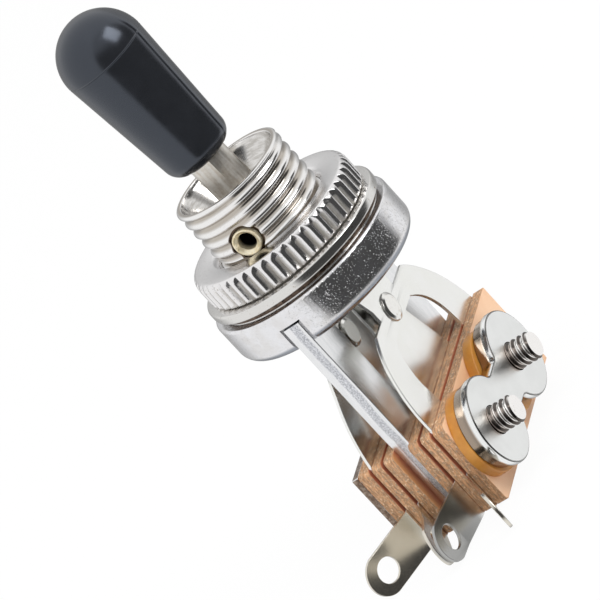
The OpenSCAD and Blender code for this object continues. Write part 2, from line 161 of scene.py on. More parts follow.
# Only the window lamp shows in the shiny parts, where it makes the tip's highlight.
lamp_distance = 0.5
lamps = (("key lamp", right * -0.5 + up * 0.55 + back * 0.55, 0.85, 0.25),
         ("window lamp", right * 0.27 + up * 0.78 + back * 0.57, 0.90, 0.28))
for name, direction, energy, size in lamps:
    lamp = bpy.data.objects.new(name, bpy.data.lights.new(name, "AREA"))
    lamp.data.energy, lamp.data.size = energy, size
    lamp.visible_glossy = name == "window lamp"
    lamp.matrix_world = (Matrix.Translation(direction.normalized() * lamp_distance)
                         @ direction.to_track_quat("Z", "Y").to_matrix().to_4x4())
    bpy.context.scene.collection.objects.link(lamp)

floor_half, floor_gap = 3, 0.02 * mm
bm = bmesh.new()
bmesh.ops.create_grid(bm, x_segments=1, y_segments=1, size=floor_half)
bmesh.ops.translate(bm, verts=bm.verts, vec=(0, 0, cad_low.z - floor_gap))
floor = bpy.data.objects.new("floor", bpy.data.meshes.new("floor"))
bm.to_mesh(floor.data)
bm.free()
bpy.context.scene.collection.objects.link(floor)
floor.visible_glossy = False
paper = bpy.data.materials.new("white sheet")
paper.use_nodes = True
floor.data.materials.append(paper)
sheet = Wire(paper.node_tree)
grain = sheet.add("TexNoise", {0: sheet.add("TexCoord", outlet="Object"), "Scale": 900.0})
matt = sheet.add("BsdfDiffuse", {"Color": grain.tint((0.88, 0.88, 0.88), (0.93, 0.93, 0.93))})
glow = sheet.add("Emission", {"Color": (1, 1, 1, 1)})
camera_ray = sheet.add("LightPath", outlet="Is Camera Ray")
mixed = sheet.add("MixShader", {0: camera_ray * 0.95, 1: matt, 2: glow})
paper.node_tree.links.new(mixed.socket, paper.node_tree.nodes["Material Output"].inputs[0])
floor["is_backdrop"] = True

# ---- lever -----------------------------------------------------------------------
# A flatted round bar of brass under satin nickel plating, with an eye that turns on
# the pivot pin and a small ball at its lower end. It leans a little to one side.
pivot_low, pivot_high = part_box("pivot_pin")
pivot = (pivot_low + pivot_high) / 2
lean = math.radians(3)
on_lever = Matrix.Translation(pivot) @ Matrix.Rotation(-lean, 4, "Y")


class Finish(Wire):
    """A material with a Principled shader, and the patterns that feed it."""

    def __init__(self, name, slot, **fixed):
        self.material = bpy.data.materials.new(name)
        self.material.use_nodes = True
        super().__init__(self.material.node_tree)
        self.slot = slot
        self.shader = self.tree.nodes["Principled BSDF"]
        self.here = self.add("TexCoord", outlet="Object")
        self.facing = self.add("TexCoord", outlet="Normal")
        self.set(**fixed)

    def set(self, **values):
        for name, value in values.items():
            socket = self.shader.inputs[name.replace("_", " ")]
            if isinstance(value, Wire):
                self.tree.links.new(value.socket, socket)
            else:
                socket.default_value = (*value, 1) if name == "Base_Color" else value

    def stretched(self, scale, centre=(0, 0, 0)):
        """Object coordinates about a centre, scaled along each axis."""
        moved = self.add("VectorMath", {0: self.here, 1: centre}, operation="SUBTRACT")
        return self.add("Mapping", {"Vector": moved, "Scale": scale})

    def radius(self):
        """The distance from the switch's axis."""
        flat = self.add("VectorMath", {0: self.here, 1: (1, 1, 0)}, operation="MULTIPLY")
        return self.add("VectorMath", {0: flat}, outlet=1, operation="LENGTH")

    def noise(self, scale, detail=3.0, rough=0.5, at=None):
        values = {"Vector": at or self.here, "Scale": scale, "Detail": detail,
                  "Roughness": rough}
        return self.add("TexNoise", values)

    def bump(self, height, depth, strength=1.0):
        """A surface raised by height, which runs from 0 to 1, times depth in metres."""
        values = {"Height": height, "Distance": depth, "Strength": strength}
        self.set(Normal=self.add("Bump", values))


def dress(node, finish):
    """Gives a CAD piece that stays as it is its finish."""
    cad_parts[node].material_slots[0].material = finish.material


satin_nickel = Finish("satin nickel", "lever_nickel", Metallic=1.0)
along_bar = satin_nickel.stretched((2600, 2600, 180), pivot)
streaks = satin_nickel.noise(1.0, 5.0, 0.62, along_bar)
clouds = satin_nickel.noise(3400.0, 4.0, 0.65)
worn = (streaks * 0.7 + clouds * 0.3).fade(0.36, 0.62)
satin_nickel.set(Base_Color=worn.tint((0.66, 0.61, 0.54), (0.88, 0.86, 0.82)),
                 Roughness=streaks.fade(0.3, 0.7, 0.36, 0.52))
satin_nickel.bump(streaks, 0.004 * mm, 0.6)
dress("lever", satin_nickel)

# ---- tip -------------------------------------------------------------------------
# A moulded cap of black plastic, pressed over the lever's upper end. Its mould left a
# fine seam round the foot of the dome, and a low ridge down two sides below it.
tip_d, tip_mouth_d, tip_length, tip_start = 8.8 * mm, 7.2 * mm, 17.7 * mm, 7.2 * mm
tip_r, tip_mouth_r, tip_corner = tip_d / 2, tip_mouth_d / 2, 1.6 * mm
socket_r, socket_depth, socket_edge = 2.1 * mm, 11.3 * mm, 0.15 * mm
seam_depth, dome_drop = 0.07 * mm, 0.01 * mm
ridge_half, ridge_soft, ridge_height = 0.36 * mm, 0.12 * mm, 0.05 * mm
ridge_top, ridge_run_out = 2.4 * mm, 1.2 * mm
cone_rows, merge_distance = 24, 0.0005 * mm


def arc(x, z, radius, start, end, steps=8):
    """Points of a round, as (radius, height), from one angle to another in degrees."""
    turns = [math.radians(start + (end - start) * i / steps) for i in range(steps + 1)]
    return [(x + radius * math.cos(t), z + radius * math.sin(t)) for t in turns]


def ordered(bm):
    """Sorts a mesh by place, since a spin or a cut leaves its parts in any order."""
    for i, v in enumerate(sorted(bm.verts, key=lambda v: v.co[:])):
        v.index = i
    bm.verts.sort()
    for parts in (bm.edges, bm.faces):
        for i, part in enumerate(sorted(parts, key=lambda p: sorted(v.index for v in p.verts))):
            part.index = i
        parts.sort()
    return bm


def turned(profile, steps):
    """A closed section, as (radius, height) points, spun about Z."""
    bm = bmesh.new()
    ring = [bm.verts.new((r, 0, z)) for r, z in profile]
    closed = ring[1:] + ring[:1] if profile[0][0] > 0 else ring[1:]
    edges = [bm.edges.new(pair) for pair in zip(ring, closed)]
    bmesh.ops.spin(bm, geom=ring + edges, cent=(0, 0, 0), axis=(0, 0, 1),
                   angle=math.tau, steps=steps, use_merge=True)
    bmesh.ops.remove_doubles(bm, verts=bm.verts, dist=merge_distance)
    bmesh.ops.recalc_face_normals(bm, faces=bm.faces)
    return ordered(bm)


def finished(name, bm, finish, body="body", replaced=(), corner=35, ridden=True):
    """Makes the piece's object, hides the CAD parts that it stands for, and attaches it to what
    it moves with.
    """
    mesh = bpy.data.meshes.new(name)
    ordered(bm).to_mesh(mesh)
    bm.free()
    mesh.shade_smooth()
    mesh.set_sharp_from_angle(angle=math.radians(corner))
    mesh.materials.append(finish.material)
    piece = bpy.data.objects.new(name, mesh)
    bpy.context.scene.collection.objects.link(piece)
    if ridden:
        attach(piece, body)
    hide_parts(*replaced)
    return piece


black_plastic = Finish("black plastic", "black_plastic", IOR=1.68,
                       Specular_Tint=(0.74, 0.83, 1.0, 1.0))
haze = black_plastic.noise(420.0, 3.0, 0.55)
grain = black_plastic.noise(9000.0, 2.0, 0.5)
black_plastic.set(Base_Color=haze.tint((0.011, 0.012, 0.014), (0.017, 0.018, 0.021)),
                  Roughness=(haze + grain * 0.3).fade(0.4, 0.9, 0.15, 0.24))
black_plastic.bump(haze + grain * 0.01, 0.04 * mm, 0.4)
dome_z = tip_start + tip_length - tip_r - dome_drop
cone_z = tip_start + tip_corner
slope = math.degrees(math.atan2(tip_r - tip_mouth_r, dome_z - cone_z))
cone = [(tip_mouth_r + (tip_r - tip_mouth_r) * i / cone_rows,
         cone_z + (dome_z - cone_z) * i / cone_rows) for i in range(1, cone_rows)]
profile = ([(0, tip_start + socket_depth), (socket_r, tip_start + socket_depth),
            (socket_r, tip_start + socket_edge), (socket_r + socket_edge, tip_start)]
           + arc(tip_mouth_r - tip_corner, cone_z, tip_corner, -90, -slope, 10)
           + cone
           + [(tip_r - 0.01 * mm, dome_z - 0.12 * mm), (tip_r - seam_depth, dome_z - 0.06 * mm),
              (tip_r - seam_depth, dome_z - 0.02 * mm), (tip_r, dome_z + 0.08 * mm)]
           + arc(0, dome_z, tip_r, 2, 89.9, 26)[1:-1] + [(0, dome_z + tip_r)])
bm = turned(profile, steps=240)
for v in bm.verts:
    r = math.hypot(v.co.x, v.co.y)
    if r > socket_r + 0.5 * mm:
        ridge = min(max((ridge_half - abs(v.co.y)) / ridge_soft, 0), 1)
        ridge *= min(max((dome_z + ridge_top - v.co.z) / ridge_run_out, 0), 1)
        v.co.x *= 1 + ridge_height * ridge / r
bm.transform(on_lever)
finished("bullet_tip", bm, black_plastic, "lever", ["tip"])

# ---- threaded bushing ------------------------------------------------------------
# A turned brass bushing under bright nickel, with a coarse rolled thread, a flared
# mouth for the lever, and a spot face on each side where the pivot pin comes out. Its
# foot is spread under the cup's floor.
bushing_low, bushing_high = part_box("bushing")
thread_r, bore_r, mouth_r, mouth_depth = 6 * mm, 3.5 * mm, 5.4 * mm, 3.3 * mm
pitch, thread_depth = 1.2 * mm, 0.36 * mm
top_z, foot_z = bushing_high.z, bushing_low.z
spigot_r, spread_r, spread_t, spread_edge = 4.6 * mm, 5.3 * mm, 0.5 * mm, 0.12 * mm
rim_outer, rim_inner = 0.25 * mm, 0.12 * mm
nut_low, nut_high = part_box("dress_nut")
relief_z, relief_r = nut_high.z - 0.7 * mm, thread_r - 0.35 * mm
spot_r, spot_flat, pin_hole_r = 1.66 * mm, 5.3 * mm, 1.45 * mm
spot_aside, spot_above, past_wall = 0.14 * mm, 0.08 * mm, 1 * mm

bright_nickel = Finish("bright nickel", "nickel", Metallic=1.0)
radius = bright_nickel.radius()
# Painted shade: the thread's roots are coloured darker and browner than its crests.
root = radius.fade(thread_r - thread_depth, thread_r - 0.08 * mm, 1.0, 0.0)
root = root * radius.fade(5.45 * mm, 5.5 * mm)
x, y, z = (bright_nickel.here.axis(a) for a in "XYZ")
# Painted shade: the spot faces round the pin's ends are coloured near black, as the shade in
# these narrow recesses.
from_pin = (x * x + (z - pivot.z) * (z - pivot.z)) ** 0.5
spot_face_shade = from_pin.fade(spot_r - 0.02 * mm, spot_r + 0.06 * mm, 1.0, 0.0)
spot_face_shade = spot_face_shade * abs(y).fade(5.0 * mm, 5.2 * mm)
pits = bright_nickel.noise(3200.0, 4.0, 0.65)
scuffs = bright_nickel.noise(1.0, 5.0, 0.6, bright_nickel.stretched((900, 900, 5200)))
tone = root.tint((0.86, 0.85, 0.84), (0.50, 0.46, 0.41))
tone = pits.fade(0.64, 0.76).tint(tone, (0.50, 0.44, 0.37))
# Painted shade: the mouth and the bore are coloured darker, patchy with the scuffs.
inside = radius.fade(5.2 * mm, 5.5 * mm, 1.0, 0.0)
tone = (inside * scuffs.fade(0.3, 0.7, 0.4, 1.0)).tint(tone, (0.50, 0.48, 0.45))
bright_nickel.set(Base_Color=spot_face_shade.tint(tone, (0.10, 0.07, 0.05)),
                  Roughness=scuffs.fade(0.3, 0.7, 0.12, 0.22))
bright_nickel.bump(pits * 0.5 + scuffs * 0.2, 0.006 * mm, 0.5)


def cut_thread(bm, crest_r, pitch, depth, low, high):
    """Sinks a rounded V thread into the outer wall between two heights."""
    steep, land = 1.3, 0.12
    for v in bm.verts:
        r = math.hypot(v.co.x, v.co.y)
        if r < crest_r - 0.02 * mm or not low <= v.co.z <= high:
            continue
        phase = (v.co.z / pitch - math.atan2(v.co.y, v.co.x) / math.tau) % 1
        groove = min(max((1 - abs(2 * phase - 1)) * steep - land, 0), 1)
        groove = groove * groove * (3 - 2 * groove)
        run_out = min((high - v.co.z) / (0.5 * pitch), (v.co.z - low) / (0.3 * pitch), 1)
        sunk = 1 - depth * groove * max(run_out, 0) / r
        v.co.x *= sunk
        v.co.y *= sunk


rows, wall_low, wall_high = 64, nut_high.z - 0.02 * mm, top_z - 0.3 * mm
wall = [(thread_r, wall_low + (wall_high - wall_low) * i / rows) for i in range(rows + 1)]
profile = ([(bore_r, foot_z), (spread_r - spread_edge, foot_z),
            (spread_r, foot_z + spread_edge), (spread_r, foot_z + spread_t - spread_edge),
            (spread_r - spread_edge, foot_z + spread_t), (spigot_r, foot_z + spread_t),
            (spigot_r, 0), (thread_r, 0), (thread_r, relief_z),
            (relief_r, relief_z + 0.1 * mm), (relief_r, nut_high.z - 0.15 * mm)]
           + wall
           + arc(thread_r - rim_outer, top_z - rim_outer, rim_outer, 15, 90, 4)
           + arc(mouth_r + rim_inner, top_z - rim_inner, rim_inner, 90, 200, 4)
           + [(mouth_r + (bore_r + 0.1 * mm - mouth_r) * t / 8, top_z - 0.2 * mm
               - (mouth_depth - 0.2 * mm) * t / 8) for t in range(1, 9)]
           + [(bore_r, top_z - mouth_depth - 0.25 * mm)])
bm = turned(profile, steps=144)
cut_thread(bm, thread_r, pitch, thread_depth, nut_high.z - 0.3 * mm, top_z - 0.1 * mm)


def hollowed(bm, *cutters):
    """The mesh with each cutter taken out of it."""
    objects = []
    for i, shape in enumerate((bm, *cutters)):
        mesh = bpy.data.meshes.new(f"blank {i}")
        shape.to_mesh(mesh)
        shape.free()
        objects.append(bpy.data.objects.new(f"blank {i}", mesh))
        bpy.context.scene.collection.objects.link(objects[-1])
    for cutter in objects[1:]:
        cut = objects[0].modifiers.new("cut", "BOOLEAN")
        cut.operation, cut.object, cut.solver = "DIFFERENCE", cutter, "EXACT"
    bpy.context.view_layer.update()
    result = bmesh.new()
    result.from_object(objects[0], bpy.context.evaluated_depsgraph_get())
    for thing in objects:
        bpy.data.meshes.remove(thing.data)
    bmesh.ops.remove_doubles(result, verts=result.verts, dist=merge_distance)
    return result


def rod(radius, low, high, turn, place):
    """A plain bar along Z, turned and then moved: a cutter."""
    bm = bmesh.new()
    bmesh.ops.create_cone(bm, cap_ends=True, segments=48, radius1=radius, radius2=radius,
                          depth=high - low)
    bmesh.ops.translate(bm, verts=bm.verts, vec=(0, 0, (low + high) / 2))
    bm.transform(Matrix.Translation(place) @ turn)
    return bm


along_y = Matrix.Rotation(math.radians(90), 4, "X")
spot = pivot + Vector((spot_aside, 0, spot_above))
outside = thread_r + past_wall
bm = hollowed(bm, rod(spot_r, spot_flat, outside, along_y, spot),
              rod(spot_r, -outside, -spot_flat, along_y, spot),
              rod(pin_hole_r, -outside - past_wall, outside + past_wall, along_y, pivot))
finished("threaded_bushing", bm, bright_nickel, replaced=["bushing"], corner=40)

# ---- pivot pin -------------------------------------------------------------------
# A short brass tube through the bushing and the lever's eye, with its ends spread a
# little so that it stays in.
brass = Finish("dulled brass", "pin_brass", Metallic=0.65)
tarnish = brass.noise(2600.0, 4.0, 0.6)
# Painted shade: the tube is coloured near black where it lies deeper than its spread ends, as
# the shade down its bore.
depth_in = abs(brass.here.axis("Y"))
bore_shade = depth_in.fade(4.6 * mm, 5.35 * mm, 1.0, 0.0)
tone = tarnish.fade(0.35, 0.65).tint((0.84, 0.72, 0.48), (0.94, 0.87, 0.68))
brass.set(Base_Color=bore_shade.tint(tone, (0.012, 0.010, 0.009)),
          Roughness=tarnish.fade(0.3, 0.7, 0.34, 0.48))
brass.bump(tarnish, 0.015 * mm, 0.5)
pin_r, pin_bore_r, pin_edge = 1.4 * mm, 0.85 * mm, 0.1 * mm
half = pivot_high.y - pivot.y
end = ([(pin_bore_r, half - 0.95 * mm), (pin_bore_r + 0.03 * mm, half - 0.6 * mm),
        (pin_bore_r + 0.05 * mm, half - 0.32 * mm), (pin_r - 0.20 * mm, half - 0.05 * mm),
        (pin_r - 0.16 * mm, half)]
       + arc(pin_r - pin_edge, half - pin_edge, pin_edge, 80, 0, 4))
bm = turned(end + [(r, -z) for r, z in reversed(end)], steps=64)
bm.transform(Matrix.Translation(pivot) @ along_y)
finished("hollow_pivot_pin", bm, brass, replaced=["pivot_pin"])

# ---- dress nut -------------------------------------------------------------------
# A turned nut under bright nickel with a rounded shoulder. The V flutes milled down
# its side run out in the shoulder, which gives each of them a pointed arch.
flutes, flute_depth, flute_share = 48, 0.42 * mm, 0.74
nut_r, nut_bore_r = (nut_high.x - nut_low.x) / 2, thread_r + 0.06 * mm
shoulder, shoulder_in, side_foot = 0.95 * mm, 0.62 * mm, 0.3 * mm
groove_in, groove_top = 0.75 * mm, 0.16 * mm
fluted_nickel = Finish("fluted nickel", "nickel", Metallic=1.0)
# Painted shade: the flutes are coloured darker and browner than the lands between them.
in_flute = fluted_nickel.radius().fade(nut_r - flute_depth, nut_r - 0.05 * mm, 1.0, 0.0)
height = fluted_nickel.here.axis("Z")
in_flute = in_flute * height.fade(nut_high.z - 0.5 * mm, nut_high.z - 0.9 * mm)
specks = fluted_nickel.noise(3600.0, 4.0, 0.65)
tone = in_flute.tint((0.82, 0.81, 0.81), (0.74, 0.71, 0.67))
fluted_nickel.set(Base_Color=specks.fade(0.62, 0.72).tint(tone, (0.46, 0.41, 0.36)),
                  Roughness=in_flute.fade(0, 1, 0.18, 0.58))
fluted_nickel.bump(specks * (0.2 + in_flute), 0.07 * mm, 1.0)
side_z = nut_low.z + side_foot
side = [(nut_r, side_z + (nut_high.z - shoulder - side_z) * i / 8) for i in range(9)]
curve = [(nut_r - shoulder_in * (1 - math.cos(math.radians(a))) ** 1.15,
          nut_high.z - shoulder + shoulder * math.sin(math.radians(a))) for a in range(5, 91, 5)]
profile = ([(nut_bore_r, nut_low.z), (nut_r - groove_in, nut_low.z),
            (nut_r - groove_in + 0.03 * mm, nut_low.z + groove_top - 0.04 * mm),
            (nut_r - 0.2 * mm, nut_low.z + groove_top)]
           + side + curve
           + [(nut_bore_r + 0.6 * mm, nut_high.z),
              (nut_bore_r + 0.5 * mm, nut_high.z - 0.04 * mm),
              (nut_bore_r, nut_high.z - 0.55 * mm)])
bm = turned(profile, steps=flutes * 10)
for v in bm.verts:
    r = math.hypot(v.co.x, v.co.y)
    if r > nut_r - groove_in:
        share = abs((math.atan2(v.co.y, v.co.x) / math.tau * flutes) % 1 - 0.5) * 2
        flank = nut_r - flute_depth * (1 - min(share / flute_share, 1)) ** 0.9
        cut = min(r, flank) / r
        v.co.x *= cut
        v.co.y *= cut
finished("fluted_dress_nut", bm, fluted_nickel, replaced=["dress_nut"], corner=50)

# ---- washers ---------------------------------------------------------------------
# A flat washer under bright nickel lies below the nut, on a lock washer of oiled
# spring steel whose small tab keeps it from turning in the panel. The lock washer
# rests on a low ring turned on the cup's top.
washer_nickel = Finish("washer nickel", "nickel", Metallic=1.0)
rings = washer_nickel.noise(1.0, 4.0, 0.6, washer_nickel.stretched((500, 500, 6000)))
blots = washer_nickel.noise(2400.0, 4.0, 0.62)
washer_nickel.set(Base_Color=blots.fade(0.60, 0.72).tint((0.72, 0.71, 0.69), (0.46, 0.40, 0.34)),
                  Roughness=rings.fade(0.3, 0.7, 0.12, 0.22))
washer_nickel.bump(rings * 0.3 + blots * 0.3, 0.010 * mm, 0.5)


def softened(node, width, segments=2, corner=30):
    """A merged copy of a CAD piece with its sharp edges broken."""
    bm = bmesh.new()
    bm.from_mesh(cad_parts[node].data)
    bmesh.ops.remove_doubles(bm, verts=bm.verts, dist=merge_distance)
    bmesh.ops.dissolve_limit(bm, angle_limit=math.radians(0.6), verts=bm.verts, edges=bm.edges)
    sharp = [e for e in bm.edges if e.is_manifold and e.calc_face_angle() > math.radians(corner)]
    bmesh.ops.bevel(bm, geom=sharp, affect="EDGES", offset=width, offset_type="OFFSET",
                    segments=segments, profile=0.5, material=-1, clamp_overlap=True)
    return bm


washer_low, washer_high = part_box("flat_washer")
washer_r, washer_bore_r = (washer_high.x - washer_low.x) / 2, thread_r + 0.1 * mm
edge = 0.22 * mm
profile = ([(washer_bore_r, washer_low.z)]
           + arc(washer_r - edge, washer_low.z + edge, edge, -90, 0, 5)
           + arc(washer_r - edge, washer_high.z - edge, edge, 0, 90, 5)
           + [(washer_bore_r, washer_high.z)])
bm = turned(profile, steps=128)
finished("rounded_flat_washer", bm, washer_nickel, replaced=["flat_washer"])

oiled_steel = Finish("oiled spring steel", "washer_steel", Metallic=1.0)
film = oiled_steel.noise(1900.0, 5.0, 0.65)
oiled_steel.set(Base_Color=film.fade(0.35, 0.68).tint((0.07, 0.05, 0.04), (0.22, 0.16, 0.12)),
                Roughness=film.fade(0.3, 0.7, 0.34, 0.52))
oiled_steel.bump(film, 0.03 * mm, 0.7)
bm = softened("lock_washer", 0.04 * mm)
seat_z, seat_edge, lock_top = 0.12 * mm, 0.08 * mm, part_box("lock_washer")[1].z
for v in bm.verts:
    v.co.z = seat_z + v.co.z * (lock_top - seat_z) / lock_top
finished("tabbed_lock_washer", bm, oiled_steel, replaced=["lock_washer"], corner=20)
seat_r = nut_r + seat_edge
profile = ([(washer_bore_r, 0), (seat_r, 0)]
           + arc(seat_r - seat_edge, seat_z - seat_edge, seat_edge, 0, 90, 3)
           + [(washer_bore_r, seat_z)])
finished("raised_seat", turned(profile, steps=128), washer_nickel, corner=40)

# ---- cup -------------------------------------------------------------------------
# A turned cup under pitted nickel that carries the bushing. Its floor rests on the
# panel, and the frame's two arms stand with a little play in slots across its rim.
cup_nickel = Finish("pitted nickel", "nickel", Metallic=1.0)
sparse = cup_nickel.noise(1100.0, 2.0, 0.5).fade(0.35, 0.62, 0.25, 1.0)
dents = cup_nickel.noise(7600.0, 1.0, 0.4).fade(0.63, 0.76) * sparse
fine = cup_nickel.noise(5200.0, 3.0, 0.6)
smears = cup_nickel.noise(700.0, 3.0, 0.6)
# Painted shade: the faces turned downwards are coloured dark grey-blue.
below = cup_nickel.facing.axis("Z").fade(-0.5, -0.2, 1.0, 0.0)
tone = smears.fade(0.35, 0.7).tint((0.81, 0.81, 0.83), (0.75, 0.74, 0.74))
cup_nickel.set(Base_Color=below.tint(tone, (0.30, 0.32, 0.36)),
               Roughness=fine.fade(0.3, 0.7, 0.15, 0.27))
cup_nickel.bump(dents + fine * 0.15, 0.028 * mm, 0.8)
frame_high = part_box("frame")[1]
slot_half, slot_top = frame_high.x + 0.26 * mm, frame_high.z + 0.22 * mm


def block(size, middle):
    """A plain box: a cutter."""
    bm = bmesh.new()
    bmesh.ops.create_cube(bm, size=1)
    bmesh.ops.scale(bm, verts=bm.verts, vec=size)
    bmesh.ops.translate(bm, verts=bm.verts, vec=middle)
    return bm


slot = block((2 * slot_half, 30 * mm, 4 * mm), (0, 0, slot_top - 2 * mm))
bm = hollowed(softened("cup", 0.10 * mm, 3), slot)
finished("slotted_cup", bm, cup_nickel, replaced=["cup"], corner=25)

# ---- frame -----------------------------------------------------------------------
# A fork stamped from thick plated steel. The punch leaves a smooth band along one
# side of its edges and a torn, speckled band along the other.
frame_steel = Finish("stamped steel", "frame_steel", Metallic=1.0)
x = frame_steel.here.axis("X")
torn = frame_steel.noise(1.0, 5.0, 0.7, frame_steel.stretched((9000, 9000, 6500)))
rolled = frame_steel.noise(1.0, 4.0, 0.55, frame_steel.stretched((1200, 2600, 350)))
on_edge = abs(frame_steel.facing.axis("X")).fade(0.4, 0.6, 1.0, 0.0)
wander = frame_steel.noise(260.0, 2.0, 0.5) * 0.5 * mm
across = x + wander
shear = on_edge * across.fade(0.0, 0.1 * mm) * across.fade(0.75 * mm, 0.9 * mm, 1.0, 0.0)
plate = rolled.fade(0.35, 0.65).tint((0.80, 0.81, 0.82), (0.86, 0.86, 0.87))
rough_edge = torn.fade(0.38, 0.62).tint((0.42, 0.43, 0.46), (0.84, 0.85, 0.88))
frame_steel.set(Base_Color=shear.tint(plate, rough_edge),
                Roughness=shear.fade(0.0, 1.0, 0.24, 0.45))
frame_steel.bump(torn * shear + rolled * 0.05, 0.03 * mm, 0.8)
finished("stamped_frame", softened("frame", 0.07 * mm), frame_steel, replaced=["frame"],
         corner=20)

# ---- insulators ------------------------------------------------------------------
# Plates punched from paper phenolic, three on each side of the frame. Their faces are
# smooth, with painted shade on the faces in the stack's gaps. Their punched edges show the
# sheet's fibres.
phenolic = Finish("paper phenolic", "phenolic")
on_face = abs(phenolic.facing.axis("X")).fade(0.55, 0.8)
fibres = phenolic.noise(1.0, 5.0, 0.7, phenolic.stretched((5200, 3000, 3000)))
layers = phenolic.noise(1.0, 4.0, 0.7, phenolic.stretched((6500, 1000, 1000)))
flecks = phenolic.noise(3400.0, 4.0, 0.7)
blush = phenolic.noise(230.0, 3.0, 0.55)
edge_tone = layers.fade(0.34, 0.66).tint((0.31, 0.17, 0.09), (0.70, 0.38, 0.19))
edge_tone = fibres.fade(0.52, 0.68).tint(edge_tone, (0.88, 0.66, 0.44))
edge_tone = flecks.fade(0.53, 0.68).tint(edge_tone, (0.34, 0.26, 0.19))
face_tone = blush.fade(0.35, 0.65).tint((0.80, 0.49, 0.29), (0.85, 0.56, 0.36))
face_tone = flecks.fade(0.60, 0.75).tint(face_tone, (0.76, 0.43, 0.24))
x, y = (phenolic.here.axis(a) for a in "XY")
# Painted shade: every face inside the stack is coloured dark red-brown, and the faces beside the
# frame lighten towards their near edge, which overhangs it.
shaded = (0.42, 0.13, 0.06)
overhang_shade = y.fade(-11.2 * mm, -10.1 * mm).tint((0.60, 0.28, 0.11), shaded)
stack_shade = abs(x).fade(1.2 * mm, 1.5 * mm).tint(overhang_shade, shaded)
face_tone = x.fade(4.9 * mm, 5.1 * mm).tint(stack_shade, face_tone)
phenolic.set(Base_Color=on_face.tint(edge_tone, face_tone),
             Roughness=on_face.fade(0, 1, 0.66, 0.42))
phenolic.bump((1 - on_face) * (layers * 0.6 + fibres * 0.5) + flecks * 0.04, 0.10 * mm, 0.9)
for side in ("left", "right"):
    for place in ("inner", "middle", "outer"):
        node = f"insulator_{side}_{place}"
        bm = softened(node, 0.10 * mm, 3)
        finished(f"punched_{node}", bm, phenolic, replaced=[node], corner=20)

# ---- leaf springs ----------------------------------------------------------------
# Four springs of bright tinned sheet, each with a solder lug bent away from the stack.
# The outer two have a wide window and reach up to the lever's ball, which bends them.
tinned = Finish("tinned spring sheet", "leaf_metal", Metallic=1.0)
mist = tinned.noise(300.0, 3.0, 0.5)
x, y = (tinned.here.axis(a) for a in "XY")
# Painted shade: the lugs are coloured darker and browner than the springs, and the inner right
# lug dark grey.
on_lug = y.fade(-12.6 * mm, -11.4 * mm, 1.0, 0.0)
tone = mist.fade(0.35, 0.65).tint((0.86, 0.86, 0.83), (0.91, 0.91, 0.89))
inner_right = x.fade(0.0, 0.5 * mm) * x.fade(3.0 * mm, 3.4 * mm, 1.0, 0.0)
lug_tone = inner_right.tint((0.72, 0.68, 0.60), (0.42, 0.42, 0.41))
tinned.set(Base_Color=on_lug.tint(tone, lug_tone),
           Roughness=mist.fade(0.3, 0.7, 0.20, 0.26))
tinned.bump(mist, 0.006 * mm, 0.3)
first_cut, cut_run, cuts = -10 * mm, 7.2 * mm, 14


def sliced(bm, place, normal):
    """New edges round the mesh where a plane meets it."""
    bmesh.ops.bisect_plane(bm, geom=bm.verts[:] + bm.edges[:] + bm.faces[:],
                           plane_co=place, plane_no=normal)


for side in ("left", "right"):
    bm = softened(f"outer_leaf_{side}", 0.05 * mm, 2, 40)
    for i in range(cuts):
        sliced(bm, (0, 0, first_cut + cut_run * i / (cuts - 1)), (0, 0, 1))
    leaf = finished(f"outer_spring_{side}", bm, tinned, replaced=[f"outer_leaf_{side}"],
                    corner=20, ridden=False)
    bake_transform(leaf)
    bm = softened(f"inner_leaf_{side}", 0.05 * mm, 2, 40)
    finished(f"inner_spring_{side}", bm, tinned, replaced=[f"inner_leaf_{side}"], corner=20)

# ---- contacts --------------------------------------------------------------------
# Rivets of bright metal with a silver face, headed over on the back of each leaf.
silver = Finish("silver contact", "contact_metal", Metallic=1.0)
spots = silver.noise(2600.0, 4.0, 0.6)
silver.set(Base_Color=spots.fade(0.58, 0.74).tint((0.84, 0.83, 0.80), (0.56, 0.50, 0.43)),
           Roughness=spots.fade(0.3, 0.7, 0.10, 0.20))
silver.bump(spots, 0.006 * mm, 0.4)
for side in ("left", "right"):
    for place in ("outer", "inner"):
        node = f"contact_{place}_{side}"
        bm = softened(node, 0.18 * mm, 5)
        finished(f"rivet_{node}", bm, silver, replaced=[node], corner=15)

# ---- nut plate, clamp plate and spacer -------------------------------------------
# The screws pull a thick two-lobed nut plate under bright nickel against a moulded
# amber spacer. The plate's side is rounded like a barrel's. A thin plate under the
# screws' heads spreads their load.
plate_nickel = Finish("plate nickel", "plate_nickel", Metallic=1.0)
bloom = plate_nickel.noise(420.0, 3.0, 0.55)
nicks = plate_nickel.noise(4200.0, 3.0, 0.6)
plate_low, plate_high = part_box("nut_plate")
turning = abs(plate_nickel.facing.axis("X"))
# Painted reflection: a dark line is coloured on the rounding between the front face and the
# side.
rim = turning.fade(0.25, 0.45) * turning.fade(0.90, 0.98, 1.0, 0.0)
# Painted shade with a painted reflection of the amber spacer: the side is coloured dark
# orange-brown near the back.
behind = plate_nickel.here.axis("X")
behind = behind.fade(plate_high.x - 0.75 * mm, plate_high.x - 0.45 * mm, 1.0, 0.0)
tone = bloom.fade(0.35, 0.65).tint((0.84, 0.85, 0.84), (0.88, 0.89, 0.88))
tone = behind.tint(tone, (0.36, 0.29, 0.23))
plate_nickel.set(Base_Color=rim.tint(tone, (0.10, 0.095, 0.09)),
                 Roughness=turning.fade(0.90, 0.99, 0.16, 0.30))
plate_nickel.bump(nicks * 0.5 + bloom, 0.006 * mm, 0.5)
screw_axes = [sum(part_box(node), Vector()) / 2 for node in ("screw_near", "screw_far")]
hole_rim = 2 * mm
thick = (plate_high.x - plate_low.x) / mm
